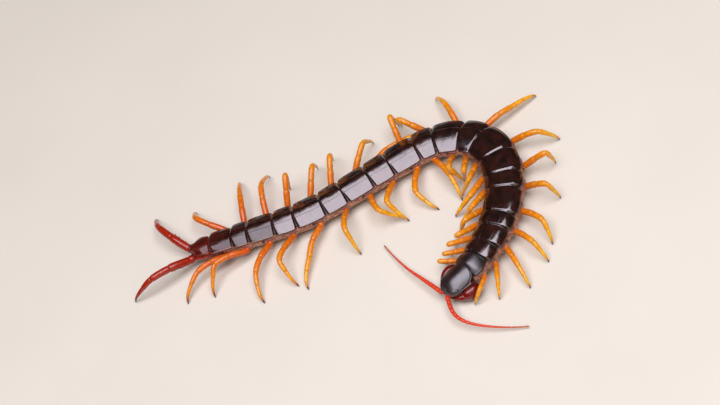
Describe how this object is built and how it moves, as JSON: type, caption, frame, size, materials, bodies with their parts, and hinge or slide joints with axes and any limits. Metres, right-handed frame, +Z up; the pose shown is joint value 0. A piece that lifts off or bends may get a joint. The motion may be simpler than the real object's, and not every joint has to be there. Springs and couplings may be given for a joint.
{
  "type": "giant centipede",
  "caption": "Life-size giant centipede standing still, its front half turned back on itself: dark glossy back plates, amber walking legs, red last legs and red antennae.",
  "frame": {"origin": "centre of the bounding box's base, on the floor between the trunk and the turned-back head", "axes": "+X from the tail towards the bend, +Y across the floor away from the head's side, +Z up"},
  "size_m": [0.1634, 0.1238, 0.0123],
  "materials": {
    "back_plates": "glossy near-black brown shell with a maroon tint",
    "flank_skin": "soft folded skin between the back and belly plates, dull mauve brown",
    "belly_plates": "smooth tan-brown shell",
    "legs": "glossy amber shell, oranger towards the tail",
    "leg_claws": "dark brown claw tips",
    "last_legs": "glossy deep red shell with darker ends",
    "antennae": "bright orange-red, ringed by many short articles",
    "head_plate": "glossy near-black dome",
    "jaws": "glossy dark red poison claws and the plate that bears them",
    "eyes": "wet-looking black"
  },
  "bodies": {
    "root": {"trunk_01_03": "back_plates", "trunk_04_06": "back_plates", "trunk_07_09": "back_plates", "trunk_10_12": "back_plates", "trunk_13_15": "back_plates", "trunk_16_18": "back_plates", "trunk_19_21": "back_plates", "leg_left_01": "legs", "leg_left_02": "legs", "leg_left_03": "legs", "leg_left_04": "legs", "leg_left_05": "legs", "leg_left_06": "legs", "leg_left_07": "legs", "leg_left_08": "legs", "leg_left_09": "legs", "leg_left_10": "legs", "leg_left_11": "legs", "leg_left_12": "legs", "leg_left_13": "legs", "leg_left_14": "legs", "leg_left_15": "legs", "leg_left_16": "legs", "leg_left_17": "legs", "leg_left_18": "legs", "leg_left_19": "legs", "leg_left_20": "legs", "last_leg_left": "last_legs", "antenna_left": "antennae", "jaw_left": "jaws", "eye_left": "eyes", "leg_right_01": "legs", "leg_right_02": "legs", "leg_right_03": "legs", "leg_right_04": "legs", "leg_right_05": "legs", "leg_right_06": "legs", "leg_right_07": "legs", "leg_right_08": "legs", "leg_right_09": "legs", "leg_right_10": "legs", "leg_right_11": "legs", "leg_right_12": "legs", "leg_right_13": "legs", "leg_right_14": "legs", "leg_right_15": "legs", "leg_right_16": "legs", "leg_right_17": "legs", "leg_right_18": "legs", "leg_right_19": "legs", "leg_right_20": "legs", "last_leg_right": "last_legs", "antenna_right": "antennae", "jaw_right": "jaws", "eye_right": "eyes", "head": "head_plate", "jaw_base": "jaws"}
  },
  "joints": []
}
